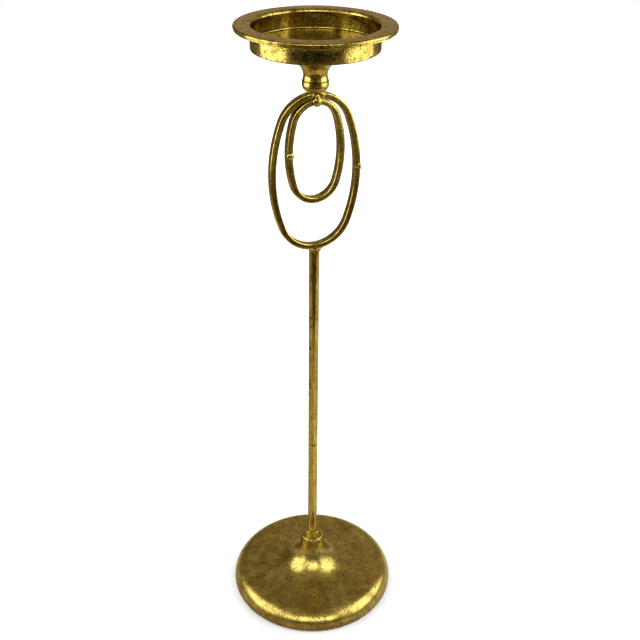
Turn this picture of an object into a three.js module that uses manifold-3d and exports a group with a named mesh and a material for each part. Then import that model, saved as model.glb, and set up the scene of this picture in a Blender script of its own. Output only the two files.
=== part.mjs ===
// Tall candlestick: a drip pan on a turned neck, two closed oval rings of flat bar hung in a nest,
// a round rod stem and a cast trumpet foot with felt pads. Nothing on it moves.
// Millimetres, +Z up. The origin is on the surface that it stands on, under the stem's axis.
// The outer ring lies in the XZ plane, and the inner ring is turned a few degrees from it about Z.

import * as THREE from "three";
import { mergeVertices } from "three/addons/utils/BufferGeometryUtils.js";
import Module from "manifold-3d";

const wasm = await Module();
wasm.setup();

// Clearances
const SEAT_GAP = 0.3; // between pieces that are welded, screwed or pressed together
const THREAD_GAP = 0.3; // between a threaded rod and the hole or nut round it

// Felt pads under the foot
const PAD_COUNT = 4;
const PAD_RADIUS = 4;
const PAD_THICKNESS = 1;

// Foot: a hollow casting, rim up to lip
const FOOT_RADIUS = 88;
const FOOT_WALL = 3.5;
const RIM_WIDTH = 10;
const RIM_EDGE_RADIUS = 1;
const FOOT_EDGE_HEIGHT = 15.5; // rim's underside to where the band and the dome would meet
const SHOULDER_RADIUS = 15.5;
const DOME_RISE = 8.1;
const CONE_FOOT_RADIUS = 14.6;
const FLARE_RADIUS = 30;
const CONE_HEIGHT = 35.2;
const LIP_RADIUS = 11.7;
const LIP_EDGE_RADIUS = 1.2;
const DECK_THICKNESS = 5;
const DECK_CORNER_RADIUS = 0.8;

// Stem: a rod, turned down at its lower end to a threaded stud
const STEM_RADIUS = 5;
const STEM_LENGTH = 348.4; // shoulder to top
const STUD_RADIUS = 4;
const STUD_PROUD = 2.5; // beyond the lower nut
const STUD_CHAMFER = 0.8;

// Nuts and washers on the stud
const NUT_FLATS = 13;
const NUT_HEIGHT = 6.5;
const NUT_CHAMFER_ANGLE = 30; // degrees
const LOCK_NUT_TURN = -21; // degrees about Z
const WASHER_RADIUS = 8;
const WASHER_THICKNESS = 1.6;
const SPRING_WASHER_RADIUS = 6.9;
const SPRING_WASHER_THICKNESS = 2;
const SPRING_WASHER_SPLIT = 1.6;

// Rings: ovals of four arcs, sized on the bar's centreline
const BAR_THICKNESS = 5.3;
const BAR_WIDTH = 7.6;
const BAR_EDGE_RADIUS = 0.8;
const OUTER_RING = { halfWidth: 40.4, halfHeight: 71.5, endRadius: 33.6 };
const INNER_RING = { halfWidth: 25.4, halfHeight: 45.4, endRadius: 22 };
const INNER_RING_TURN = 4.5; // degrees about Z, from the outer ring

// Neck: a bead under a trumpet
const BEAD_RADIUS = 11.7;
const BEAD_HEIGHT = 9.1;
const BEAD_BOTTOM_RADIUS = 5.2;
const SEAM_CHAMFER = 0.5;
const TRUMPET_HEIGHT = 26.6;
const TRUMPET_FOOT_RADIUS = 11.25;
const TRUMPET_WAIST_RADIUS = 10.5;
const TRUMPET_WAIST_HEIGHT = 3.4;
const TRUMPET_FLARE_START = 10.5; // seam to where the waist and the cone would meet
const TRUMPET_FLARE_RADIUS = 12;
const TRUMPET_TOP_RADIUS = 30;
const TRUMPET_EDGE = 2;

// Drip pan: a casting with a level brim
const PAN_RADIUS = 55.2;
const PAN_DEPTH = 16.5; // inside
const PAN_WALL = 1.5;
const PAN_FLOOR = 4;
const PAN_FOOT_EDGE_RADIUS = 0.8;
const PAN_CORNER_RADIUS = 1.2;
const BRIM_RADIUS = 69;
const BRIM_THICKNESS = 3.2;
const BRIM_EDGE_RADIUS = 1.5;
const BRIM_MOUTH_RADIUS = 2.8;
const BRIM_FILLET_RADIUS = 4;

// Countersunk screw that holds pan, trumpet and bead together
const SCREW_RADIUS = 3;
const SCREW_HEAD_RADIUS = 6;
const SCREW_HEAD_HEIGHT = 3;
const SCREW_GRIP = 6.5; // length in the bead's thread
const SCREW_SOCKET_FLATS = 4;
const SCREW_SOCKET_DEPTH = 2;
const SCREW_TIP_CHAMFER = 0.7;

// Welds, as half sizes of the lumps before the bars are cut from them
const STEM_WELD_REACH = 1.9;
const STEM_WELD_HALF_HEIGHT = 2.6;
const CROWN_GAP = 1.2; // filled by weld between the outer ring's crown and the bead
const CROWN_WELD_REACH = 2.2;
const CROWN_LUMP = { x: 3.2, y: 2.6, z: 3.8 };
const CROWN_LUMP_OFFSET = { x: 5, z: -1.4 }; // from the stem's axis and the ring's crown
const DROP_WELD = { x: 3.6, y: 3.4, z: 5.6 };
const SEAM_WELD_SKIN = 0.9;
const SEAM_WELD_HALF_LENGTH = 2.9;
const SEAM_WELD_SQUARENESS = 5;
const OUTER_SEAM_HEIGHT = 2; // above the outer ring's middle, on its +X limb
const INNER_SEAM_HEIGHT = -0.6; // above the inner ring's middle, on its -X limb

// Facets
const FOOT_SIDES = 48;
const PAN_SIDES = 48;
const NECK_SIDES = 30;
const ROD_SIDES = 24;
const SMALL_SIDES = 20;
const RING_ARC_STEPS = 7;
const BAR_EDGE_STEPS = 2;
const WIDE_ARC_STEP = 16; // degrees
const SMALL_ARC_STEP = 45; // degrees
const WIDE_ARC_RADIUS = 2.5;
const LUMP_SIDES = 12;
const LUMP_ROWS = 8;

// Heights above the surface that it stands on
const footZ = PAD_THICKNESS;
const domeEdgeZ = footZ + FOOT_EDGE_HEIGHT;
const coneFootZ = domeEdgeZ + DOME_RISE;
const lipZ = coneFootZ + CONE_HEIGHT;
const deckZ = lipZ - DECK_THICKNESS;
const washerZ = deckZ - WASHER_THICKNESS;
const springWasherZ = washerZ - SPRING_WASHER_THICKNESS;
const lowerNutZ = springWasherZ - NUT_HEIGHT;
const studZ = lowerNutZ - STUD_PROUD;
const shoulderZ = lipZ + NUT_HEIGHT + SEAT_GAP;
const stemTopZ = shoulderZ + STEM_LENGTH;
const outerRingZ = stemTopZ + SEAT_GAP + BAR_THICKNESS / 2 + OUTER_RING.halfHeight;
const ringTopZ = outerRingZ + OUTER_RING.halfHeight + BAR_THICKNESS / 2;
const innerCrownZ = ringTopZ - BAR_THICKNESS - SEAT_GAP;
const innerRingZ = innerCrownZ - BAR_THICKNESS / 2 - INNER_RING.halfHeight;
const beadZ = ringTopZ + CROWN_GAP;
const seamZ = beadZ + BEAD_HEIGHT;
const panZ = seamZ + TRUMPET_HEIGHT;
const panFloorZ = panZ + PAN_FLOOR;
const brimZ = panFloorZ + PAN_DEPTH;

const radians = THREE.MathUtils.degToRad;
const mergeWithin = 1e-4;
const cutterOverrun = 1; // of a cutter past the face that it opens

// A closed mesh with its corners merged and its empty triangles dropped
function weld(geometry) {
  const plain = geometry.clone();
  plain.deleteAttribute("normal");
  plain.deleteAttribute("uv");
  const merged = mergeVertices(plain, mergeWithin);
  const corners = merged.index.array;
  const kept = [];
  for (let i = 0; i < corners.length; i += 3) {
    const [a, b, c] = [corners[i], corners[i + 1], corners[i + 2]];
    if (a !== b && b !== c && c !== a) kept.push(a, b, c);
  }
  merged.setIndex(kept);
  return merged;
}

function toSolid(geometry) {
  const closed = weld(geometry);
  const mesh = new wasm.Mesh({
    numProp: 3,
    vertProperties: new Float32Array(closed.attributes.position.array),
    triVerts: new Uint32Array(closed.index.array),
  });
  return new wasm.Manifold(mesh);
}

function toGeometry(solid) {
  const mesh = solid.getMesh();
  const geometry = new THREE.BufferGeometry();
  geometry.setAttribute("position", new THREE.BufferAttribute(mesh.vertProperties, 3));
  geometry.setIndex(new THREE.BufferAttribute(mesh.triVerts, 1));
  return geometry;
}

function cut(geometry, ...tools) {
  const solid = tools.reduce((left, tool) => left.subtract(toSolid(tool)), toSolid(geometry));
  return toGeometry(solid);
}

function join(...geometries) {
  const [first, ...others] = geometries.map(toSolid);
  return toGeometry(others.reduce((sum, other) => sum.add(other), first));
}

// Where the line through a and b meets the line through c and d
function crossing(a, b, c, d) {
  const ab = b.clone().sub(a);
  const cd = d.clone().sub(c);
  const share = c.clone().sub(a).cross(cd) / ab.cross(cd);
  return a.clone().addScaledVector(ab, share);
}

// The line through a and b, moved to its right by a distance
function shifted(a, b, distance) {
  const way = b.clone().sub(a).normalize();
  const side = new THREE.Vector2(way.y, -way.x).multiplyScalar(distance);
  return [a.clone().add(side), b.clone().add(side)];
}

// The points of an outline given as corners [radius, height, corner radius]
function rounded(corners) {
  const points = corners.map(([r, z]) => new THREE.Vector2(r, z));
  const outline = [];
  corners.forEach(([, , radius = 0], i) => {
    const [before, here, after] = [points[i - 1], points[i], points[i + 1]];
    if (!radius || !before || !after) outline.push(here);
    else outline.push(...cornerArc(before, here, after, radius));
  });
  return outline;
}

function cornerArc(before, here, after, radius) {
  const back = before.clone().sub(here).normalize();
  const on = after.clone().sub(here).normalize();
  const half = Math.acos(THREE.MathUtils.clamp(back.dot(on), -1, 1)) / 2;
  const centreWay = back.clone().add(on).normalize();
  const centre = here.clone().addScaledVector(centreWay, radius / Math.sin(half));
  const start = here.clone().addScaledVector(back, radius / Math.tan(half)).sub(centre);
  const turn = (Math.PI - 2 * half) * Math.sign(on.cross(back));
  const step = radians(radius > WIDE_ARC_RADIUS ? WIDE_ARC_STEP : SMALL_ARC_STEP);
  const steps = Math.max(2, Math.ceil(Math.abs(turn) / step));
  const origin = new THREE.Vector2();
  return Array.from({ length: steps + 1 }, (_, i) =>
    start.clone().rotateAround(origin, (turn * i) / steps).add(centre));
}

// A solid turned about Z from a profile that runs anticlockwise in radius and height
function turned(profile, sides) {
  const closed = profile[0].x < mergeWithin ? profile : [...profile, profile[0]];
  return weld(new THREE.LatheGeometry(closed, sides).rotateX(Math.PI / 2));
}

function rod(radius, fromZ, toZ, sides) {
  return turned(rounded([[0, fromZ], [radius, fromZ], [radius, toZ], [0, toZ]]), sides);
}

function ringPlate(innerRadius, outerRadius, fromZ, toZ, sides) {
  const corners = [[innerRadius, fromZ], [outerRadius, fromZ], [outerRadius, toZ], [innerRadius, toZ]];
  return turned(rounded(corners), sides);
}

function hexRod(flats, fromZ, toZ) {
  const radius = flats / 2 / Math.cos(Math.PI / 6);
  const prism = new THREE.CylinderGeometry(radius, radius, toZ - fromZ, 6);
  return prism.rotateX(Math.PI / 2).translate(0, 0, (fromZ + toZ) / 2);
}

// The arcs of an oval: the height of its end arcs' centre, and its side arcs' radius and centre
function ovalArcs({ halfWidth, halfHeight, endRadius }) {
  const endCentre = halfHeight - endRadius;
  const sideRadius = (halfWidth ** 2 - endRadius ** 2 + endCentre ** 2) / (2 * (halfWidth - endRadius));
  return { endCentre, sideRadius, sideCentre: sideRadius - halfWidth };
}

// An oval outline of four arcs, moved outwards by a distance
function ovalPath(path, oval, outwards) {
  const { endCentre, sideRadius, sideCentre } = ovalArcs(oval);
  const meet = Math.atan2(endCentre, sideCentre);
  const side = sideRadius + outwards;
  const end = oval.endRadius + outwards;
  path.absarc(-sideCentre, 0, side, -meet, meet, false);
  path.absarc(0, endCentre, end, meet, Math.PI - meet, false);
  path.absarc(sideCentre, 0, side, Math.PI - meet, Math.PI + meet, false);
  path.absarc(0, -endCentre, end, Math.PI + meet, 2 * Math.PI - meet, false);
  return path;
}

// A ring of flat bar with rounded edges, in the XZ plane, thicker all round by extra
function ring(oval, z, extra = 0) {
  const half = BAR_THICKNESS / 2 + extra;
  const width = BAR_WIDTH + 2 * extra;
  const edge = BAR_EDGE_RADIUS + extra;
  const outline = ovalPath(new THREE.Shape(), oval, half);
  outline.holes.push(ovalPath(new THREE.Path(), oval, -half));
  const bar = new THREE.ExtrudeGeometry(outline, {
    depth: width - 2 * edge,
    bevelThickness: edge,
    bevelSize: edge,
    bevelOffset: -edge,
    bevelSegments: BAR_EDGE_STEPS,
    curveSegments: RING_ARC_STEPS,
  });
  return weld(bar.translate(0, 0, edge - width / 2).rotateX(Math.PI / 2).translate(0, 0, z));
}

const outerRing = (extra) => ring(OUTER_RING, outerRingZ, extra);
const turnInner = (geometry) => geometry.rotateZ(radians(INNER_RING_TURN));
const innerRing = (extra) => turnInner(ring(INNER_RING, innerRingZ, extra));

// A lump with half sizes x, y and z, rounder or squarer by its exponent
function lump({ x, y, z }, squareness = 2) {
  const geometry = new THREE.SphereGeometry(1, LUMP_SIDES, LUMP_ROWS).rotateX(Math.PI / 2);
  const places = geometry.attributes.position;
  const point = new THREE.Vector3();
  for (let i = 0; i < places.count; i++) {
    point.fromBufferAttribute(places, i);
    const sum = ["x", "y", "z"].reduce((total, axis) => total + Math.abs(point[axis]) ** squareness, 0);
    point.multiplyScalar(sum ** (-1 / squareness));
    places.setXYZ(i, point.x * x, point.y * y, point.z * z);
  }
  return geometry;
}

// The foot's walls: its outer outline, and the same lines moved in by the wall
function footCasting() {
  const lip = new THREE.Vector2(LIP_RADIUS, lipZ);
  const coneFoot = new THREE.Vector2(CONE_FOOT_RADIUS, coneFootZ);
  const domeEdge = new THREE.Vector2(FOOT_RADIUS, domeEdgeZ);
  const innerCone = shifted(lip, coneFoot, FOOT_WALL);
  const innerDome = shifted(coneFoot, domeEdge, FOOT_WALL);
  const rimInside = FOOT_RADIUS - RIM_WIDTH;
  const level = (z) => [new THREE.Vector2(0, z), new THREE.Vector2(1, z)];
  const upright = [new THREE.Vector2(rimInside, 0), new THREE.Vector2(rimInside, 1)];
  const rimCorner = crossing(...innerDome, ...upright);
  const flareCorner = crossing(...innerCone, ...innerDome);
  const deckCorner = crossing(...innerCone, ...level(deckZ));
  const hole = STUD_RADIUS + THREAD_GAP;
  const outline = rounded([
    [rimInside, footZ],
    [FOOT_RADIUS, footZ, RIM_EDGE_RADIUS],
    [domeEdge.x, domeEdge.y, SHOULDER_RADIUS],
    [coneFoot.x, coneFoot.y, FLARE_RADIUS],
    [lip.x, lip.y, LIP_EDGE_RADIUS],
    [hole, lipZ],
    [hole, deckZ],
    [deckCorner.x, deckCorner.y, DECK_CORNER_RADIUS],
    [flareCorner.x, flareCorner.y, FLARE_RADIUS + FOOT_WALL],
    [rimCorner.x, rimCorner.y, RIM_EDGE_RADIUS],
    [rimInside, footZ],
  ]).slice(0, -1);
  const washerSeat = rod(WASHER_RADIUS + SEAT_GAP, studZ, deckZ, ROD_SIDES);
  return cut(turned(outline, FOOT_SIDES), washerSeat);
}

function feltPad(number) {
  const reach = FOOT_RADIUS - RIM_WIDTH / 2;
  const bearing = radians((360 / PAD_COUNT) * (number - 0.5));
  const pad = rod(PAD_RADIUS, 0, PAD_THICKNESS, SMALL_SIDES);
  return pad.translate(reach * Math.cos(bearing), reach * Math.sin(bearing), 0);
}

function stemRod() {
  const outline = rounded([
    [0, studZ],
    [STUD_RADIUS - STUD_CHAMFER, studZ],
    [STUD_RADIUS, studZ + STUD_CHAMFER],
    [STUD_RADIUS, shoulderZ],
    [STEM_RADIUS, shoulderZ],
    [STEM_RADIUS, stemTopZ],
    [0, stemTopZ],
  ]);
  return turned(outline, ROD_SIDES);
}

// A hex nut, its corners taken off by a cone at both ends
function hexNut(z, turn) {
  const top = z + NUT_HEIGHT;
  const flat = NUT_FLATS / 2;
  const corner = flat / Math.cos(Math.PI / 6);
  const chamfer = (corner - flat) * Math.tan(radians(NUT_CHAMFER_ANGLE));
  const barrel = turned(rounded([
    [0, z],
    [flat, z],
    [corner, z + chamfer],
    [corner, top - chamfer],
    [flat, top],
    [0, top],
  ]), ROD_SIDES);
  const hex = hexRod(NUT_FLATS, z, top).rotateZ(radians(turn));
  const blank = toSolid(hex).intersect(toSolid(barrel));
  const bore = rod(STUD_RADIUS + THREAD_GAP, z - cutterOverrun, top + cutterOverrun, ROD_SIDES);
  return cut(toGeometry(blank), bore);
}

// A split ring, drawn flat as it is when the nut is tight
function springWasher() {
  const inner = STUD_RADIUS + THREAD_GAP;
  const split = SPRING_WASHER_SPLIT / 2;
  const outerStart = Math.asin(split / SPRING_WASHER_RADIUS);
  const innerStart = Math.asin(split / inner);
  const outline = new THREE.Shape();
  outline.absarc(0, 0, SPRING_WASHER_RADIUS, outerStart, 2 * Math.PI - outerStart, false);
  outline.absarc(0, 0, inner, 2 * Math.PI - innerStart, innerStart, true);
  const settings = { depth: SPRING_WASHER_THICKNESS, bevelEnabled: false, curveSegments: SMALL_SIDES / 2 };
  return weld(new THREE.ExtrudeGeometry(outline, settings).translate(0, 0, springWasherZ));
}

function neckBead() {
  const hole = SCREW_RADIUS + THREAD_GAP;
  const holeZ = seamZ - SCREW_GRIP - 2 * THREAD_GAP;
  const outline = rounded([
    [0, beadZ],
    [BEAD_RADIUS, beadZ, BEAD_BOTTOM_RADIUS],
    [BEAD_RADIUS, seamZ - SEAM_CHAMFER],
    [BEAD_RADIUS - SEAM_CHAMFER, seamZ],
    [hole, seamZ],
    [hole, holeZ],
    [0, holeZ],
  ]);
  return turned(outline, NECK_SIDES);
}

function neckTrumpet() {
  const hole = SCREW_RADIUS + THREAD_GAP;
  const outline = rounded([
    [hole, seamZ],
    [TRUMPET_FOOT_RADIUS - SEAM_CHAMFER, seamZ],
    [TRUMPET_FOOT_RADIUS, seamZ + SEAM_CHAMFER],
    [TRUMPET_WAIST_RADIUS, seamZ + TRUMPET_WAIST_HEIGHT],
    [TRUMPET_WAIST_RADIUS, seamZ + TRUMPET_FLARE_START, TRUMPET_FLARE_RADIUS],
    [TRUMPET_TOP_RADIUS, panZ - TRUMPET_EDGE],
    [TRUMPET_TOP_RADIUS, panZ],
    [hole, panZ],
  ]);
  return turned(outline, NECK_SIDES);
}

// The pan with its countersunk hole, from the hole round the outside and back over the floor
function dripPan() {
  const hole = SCREW_RADIUS + SEAT_GAP;
  const sink = SCREW_HEAD_RADIUS + SEAT_GAP;
  const brimUnderZ = brimZ - BRIM_THICKNESS;
  const inside = PAN_RADIUS - PAN_WALL;
  const outline = rounded([
    [hole, panZ],
    [PAN_RADIUS, panZ, PAN_FOOT_EDGE_RADIUS],
    [PAN_RADIUS, brimUnderZ, BRIM_FILLET_RADIUS],
    [BRIM_RADIUS, brimUnderZ, BRIM_EDGE_RADIUS],
    [BRIM_RADIUS, brimZ, BRIM_EDGE_RADIUS],
    [inside, brimZ, BRIM_MOUTH_RADIUS],
    [inside, panFloorZ, PAN_CORNER_RADIUS],
    [sink, panFloorZ],
    [hole, panFloorZ - SCREW_HEAD_HEIGHT - SEAT_GAP],
  ]);
  return turned(outline, PAN_SIDES);
}

function panScrew() {
  const tipZ = seamZ - SCREW_GRIP;
  const shank = turned(rounded([
    [0, tipZ],
    [SCREW_RADIUS - SCREW_TIP_CHAMFER, tipZ],
    [SCREW_RADIUS, tipZ + SCREW_TIP_CHAMFER],
    [SCREW_RADIUS, panFloorZ - SCREW_HEAD_HEIGHT],
    [SCREW_HEAD_RADIUS, panFloorZ],
    [0, panFloorZ],
  ]), SMALL_SIDES);
  const socket = hexRod(SCREW_SOCKET_FLATS, panFloorZ - SCREW_SOCKET_DEPTH, panFloorZ + cutterOverrun);
  return cut(shank, socket);
}

// A fillet of weld round the stem's top, cut clear of the stem and of the ring that stands on it
function stemTopWeld() {
  const bead = lump({
    x: STEM_RADIUS + STEM_WELD_REACH,
    y: STEM_RADIUS + STEM_WELD_REACH,
    z: STEM_WELD_HALF_HEIGHT,
  }).translate(0, 0, stemTopZ + SEAT_GAP);
  const below = stemTopZ - 2 * STEM_WELD_HALF_HEIGHT;
  const stemSpace = rod(STEM_RADIUS + SEAT_GAP, below, stemTopZ + SEAT_GAP, ROD_SIDES);
  return cut(bead, stemSpace, outerRing(SEAT_GAP));
}

// The neck bead as a plain plug, thicker all round by the gap that a weld keeps to it
function beadPlug() {
  const plug = rounded([
    [0, beadZ - SEAT_GAP],
    [BEAD_RADIUS + SEAT_GAP, beadZ - SEAT_GAP, BEAD_BOTTOM_RADIUS + SEAT_GAP],
    [BEAD_RADIUS + SEAT_GAP, seamZ],
    [0, seamZ],
  ]);
  return turned(plug, NECK_SIDES);
}

// Weld round the foot of the neck bead, with a lump on each side of the outer ring's shoulders
function crownLumps(extra) {
  const reach = BEAD_RADIUS - BEAD_BOTTOM_RADIUS + CROWN_WELD_REACH + extra;
  const collar = lump({ x: reach, y: reach, z: CROWN_WELD_REACH + extra });
  collar.translate(0, 0, ringTopZ + CROWN_GAP / 2);
  const { x, y, z } = CROWN_LUMP;
  const lumps = [[1, 1], [-1, 1], [-1, -1], [1, -1]].map(([alongX, alongY]) =>
    lump({ x: x + extra, y: y + extra, z: z + extra }).translate(
      alongX * CROWN_LUMP_OFFSET.x,
      (alongY * BAR_WIDTH) / 2,
      ringTopZ + CROWN_LUMP_OFFSET.z,
    ));
  return join(collar, ...lumps);
}

function crownWeld() {
  return cut(crownLumps(0), beadPlug(), outerRing(SEAT_GAP), innerRing(SEAT_GAP));
}

// A drop of weld on one face of the bars, where the inner ring hangs from the outer one
function hangerWeld(side) {
  const drop = lump(DROP_WELD).translate(0, (side * BAR_WIDTH) / 2, innerCrownZ + SEAT_GAP / 2);
  const otherFace = new THREE.BoxGeometry(4 * DROP_WELD.x, BAR_WIDTH, 4 * DROP_WELD.z)
    .translate(0, side * (SEAT_GAP - BAR_WIDTH / 2), innerCrownZ);
  return cut(drop, otherFace, outerRing(SEAT_GAP), innerRing(SEAT_GAP), crownLumps(SEAT_GAP));
}

// A band of weld round the bar where a ring was bent shut: a short stretch of the ring, thickened
function seamWeld(oval, ringZ, height, side) {
  const { sideRadius, sideCentre } = ovalArcs(oval);
  const reach = Math.sqrt(sideRadius ** 2 - height ** 2) - sideCentre;
  const stretch = lump({
    x: BAR_THICKNESS / 2 + 2 * SEAM_WELD_SKIN,
    y: BAR_WIDTH / 2 + 2 * SEAM_WELD_SKIN,
    z: SEAM_WELD_HALF_LENGTH,
  }, SEAM_WELD_SQUARENESS);
  stretch.rotateY(-side * Math.asin(height / sideRadius));
  stretch.translate(side * reach, 0, ringZ + height);
  const thickened = toSolid(ring(oval, ringZ, SEAM_WELD_SKIN)).intersect(toSolid(stretch));
  return cut(toGeometry(thickened), ring(oval, ringZ, SEAT_GAP));
}

// Finishes
const gold = new THREE.MeshStandardMaterial({ color: "#8d7430", roughness: 0.42, metalness: 0.9 });
const zinc = new THREE.MeshStandardMaterial({ color: "#9a9a94", roughness: 0.45, metalness: 0.9 });
const felt = new THREE.MeshStandardMaterial({ color: "#3a2c20", roughness: 1, metalness: 0 });

const candlestick = new THREE.Group();

function add(name, geometry, material) {
  const mesh = new THREE.Mesh(geometry, material);
  mesh.name = name;
  candlestick.add(mesh);
}

for (let number = 1; number <= PAD_COUNT; number++) {
  add(`felt_pad_${number}`, feltPad(number), felt);
}
add("foot_casting", footCasting(), gold);
add("foot_washer", ringPlate(STUD_RADIUS + THREAD_GAP, WASHER_RADIUS, washerZ, deckZ, ROD_SIDES), zinc);
add("foot_spring_washer", springWasher(), zinc);
add("foot_nut", hexNut(lowerNutZ, 0), zinc);
add("stem_lock_nut", hexNut(lipZ, LOCK_NUT_TURN), gold);
add("stem", stemRod(), gold);
add("stem_top_weld", stemTopWeld(), gold);
add("outer_ring", outerRing(), gold);
add("outer_ring_seam_weld", seamWeld(OUTER_RING, outerRingZ, OUTER_SEAM_HEIGHT, 1), gold);
add("inner_ring", innerRing(), gold);
add("inner_ring_seam_weld", turnInner(seamWeld(INNER_RING, innerRingZ, INNER_SEAM_HEIGHT, -1)), gold);
add("hanger_weld_front", hangerWeld(-1), gold);
add("hanger_weld_back", hangerWeld(1), gold);
add("crown_weld", crownWeld(), gold);
add("neck_bead", neckBead(), gold);
add("neck_trumpet", neckTrumpet(), gold);
add("drip_pan", dripPan(), gold);
add("pan_screw", panScrew(), gold);

export default candlestick;
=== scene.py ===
# Tall candlestick in worn antique gold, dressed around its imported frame.
# Metres, +Z up, in the part's own frame. The sections follow the candlestick from its felt pads up.

import math

import bmesh
import bpy
from mathutils import Matrix, Vector


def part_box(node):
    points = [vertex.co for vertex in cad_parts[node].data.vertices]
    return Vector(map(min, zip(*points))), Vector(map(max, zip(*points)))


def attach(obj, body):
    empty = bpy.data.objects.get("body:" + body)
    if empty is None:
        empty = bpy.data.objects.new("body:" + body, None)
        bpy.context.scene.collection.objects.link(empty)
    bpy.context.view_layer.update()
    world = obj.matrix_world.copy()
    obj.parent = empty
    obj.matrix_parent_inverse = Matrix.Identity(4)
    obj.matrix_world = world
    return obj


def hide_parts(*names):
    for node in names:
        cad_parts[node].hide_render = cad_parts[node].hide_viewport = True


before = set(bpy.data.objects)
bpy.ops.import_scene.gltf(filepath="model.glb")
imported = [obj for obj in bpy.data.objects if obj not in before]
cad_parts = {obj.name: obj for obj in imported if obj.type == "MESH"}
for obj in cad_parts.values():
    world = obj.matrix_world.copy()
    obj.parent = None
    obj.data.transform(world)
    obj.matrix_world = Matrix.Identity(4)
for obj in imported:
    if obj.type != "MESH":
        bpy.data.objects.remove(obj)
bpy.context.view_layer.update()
mm = 0.001

# Camera
# It stands to the left of the rings' front and looks down on the foot, as the photographer did.
# The lens gives the photograph's perspective on a sensor 36 mm wide.
camera_place = Vector((-0.28903, -0.74825, 0.80476))
camera_bearing = math.radians(21.556)  # from +Y towards +X
camera_pitch = math.radians(-30.24)
camera_roll = math.radians(0.61)
camera_lens = 53.48

bpy.ops.object.camera_add()
camera = bpy.context.object
camera.data.lens = camera_lens
camera.data.sensor_width = 36
camera.matrix_world = (
    Matrix.Translation(camera_place)
    @ Matrix.Rotation(-camera_bearing, 4, "Z")
    @ Matrix.Rotation(math.pi / 2 + camera_pitch, 4, "X")
    @ Matrix.Rotation(camera_roll, 4, "Z")
)
bpy.context.scene.camera = camera

# Felt pads
# Four discs stamped from dark felt, stuck under the rim with their own adhesive.
# Their cut edge is soft and the fibres lie every way, so they have no gloss at all.
felt_fibre = 0.35 * mm
felt_fuzz = 0.2 * mm
pad_edge = 0.25 * mm


def linear(colour):
    """An sRGB hex colour as linear red, green, blue and alpha."""
    parts = [int(colour[i:i + 2], 16) / 255 for i in (0, 2, 4)]
    return [p / 12.92 if p <= 0.04045 else ((p + 0.055) / 1.055) ** 2.4 for p in parts] + [1]


def add_node(material, kind, links=(), **settings):
    """A node with its settings. Links gives its sockets a value, or the output that drives them."""
    made = material.node_tree.nodes.new(kind)
    for name, value in settings.items():
        setattr(made, name, value)
    for socket, value in dict(links).items():
        if isinstance(value, bpy.types.NodeSocket):
            material.node_tree.links.new(value, made.inputs[socket])
        else:
            made.inputs[socket].default_value = value
    return made


def new_material(name):
    """A material with one Principled shader, and the object's own coordinates."""
    material = bpy.data.materials.new(name)
    material.use_nodes = True
    shader = material.node_tree.nodes["Principled BSDF"]
    place = add_node(material, "ShaderNodeTexCoord").outputs["Object"]
    return material, shader, place


def felt(name):
    material, shader, place = new_material(name)
    fibres = add_node(material, "ShaderNodeTexNoise",
                      {"Vector": place, "Scale": 1 / felt_fibre, "Detail": 4, "Distortion": 1.5})
    shade = add_node(material, "ShaderNodeMix",
                     {"Factor": fibres.outputs["Fac"], 6: linear("241a12"), 7: linear("53402f")},
                     data_type="RGBA")
    fuzz = add_node(material, "ShaderNodeBump",
                    {"Height": fibres.outputs["Fac"], "Strength": 0.9, "Distance": felt_fuzz})
    link = material.node_tree.links.new
    link(shade.outputs[2], shader.inputs["Base Color"])
    link(fuzz.outputs["Normal"], shader.inputs["Normal"])
    shader.inputs["Roughness"].default_value = 1
    shader.inputs["Sheen Weight"].default_value = 0.4
    return material


def seat(piece, material, slot, *nodes):
    """Finishes a piece: its material, its body, and the nodes that it stands for. The slot is not used.
    """
    piece.data.materials.clear()
    piece.data.materials.append(material)
    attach(piece, "root")
    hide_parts(*nodes)


def apply_all(piece):
    """Applies a piece's modifiers in their order."""
    for modifier in list(piece.modifiers):
        bpy.ops.object.modifier_apply(modifier=modifier.name)


dark_felt = felt("stamped wool felt")
for number in range(1, 5):
    low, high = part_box(f"felt_pad_{number}")
    bpy.ops.object.select_all(action="DESELECT")
    bpy.ops.mesh.primitive_cylinder_add(vertices=64, radius=(high.x - low.x) / 2,
                                        depth=high.z - low.z, location=(low + high) / 2)
    pad = bpy.context.object
    pad.name = f"pad_{number}"
    bpy.ops.object.transform_apply(location=True)
    edge = pad.modifiers.new("soft edge", "BEVEL")
    edge.width = pad_edge
    edge.segments = 3
    apply_all(pad)
    bpy.ops.object.shade_smooth_by_angle(angle=math.radians(35))
    seat(pad, dark_felt, "felt", f"felt_pad_{number}")

# Foot
# A hollow casting, cast in sand with an even wall, fettled and painted antique gold.
# Casting leaves it a little wavy; the paint is worn, pitted and mottled as old leaf is, with a painted
# shade low on its band.
foot_low, foot_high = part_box("foot_casting")
foot_radius = foot_high.x
foot_wall = 3.5 * mm
rim_width = 10 * mm
rim_edge = 1 * mm
band_height = 15.5 * mm
shoulder = 15.5 * mm
dome_rise = 8.1 * mm
cone_foot = 14.6 * mm
flare = 30 * mm
lip_radius = 11.7 * mm
lip_edge = 2 * mm
deck_thickness = 5 * mm
deck_step = 1 * mm  # the deck drops by this from the washer's seat to the cone's inside
deck_round = 0.5 * mm
stud_hole = 4.3 * mm
washer_seat = 8.3 * mm
casting_wave = 22 * mm
casting_wave_depth = 0.3 * mm
# painted shade low on the band by the floor, clean above the first height, with denser specks there
foot_shade_and_grime = (12 * mm, 4 * mm)
paint_grain = 0.7 * mm
paint_relief = 0.1 * mm
rubbed_border = 0.4 * mm


def uneven(piece, name, grain, depth):
    """Moves a surface in and out by up to half a depth, in soft waves of one grain size."""
    waves = bpy.data.textures.new(name, "CLOUDS")
    waves.noise_scale = grain
    waves.noise_depth = 2
    modifier = piece.modifiers.new(name, "DISPLACE")
    modifier.texture = waves
    modifier.texture_coords = "GLOBAL"
    modifier.strength = depth
    modifier.mid_level = 0.5


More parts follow.
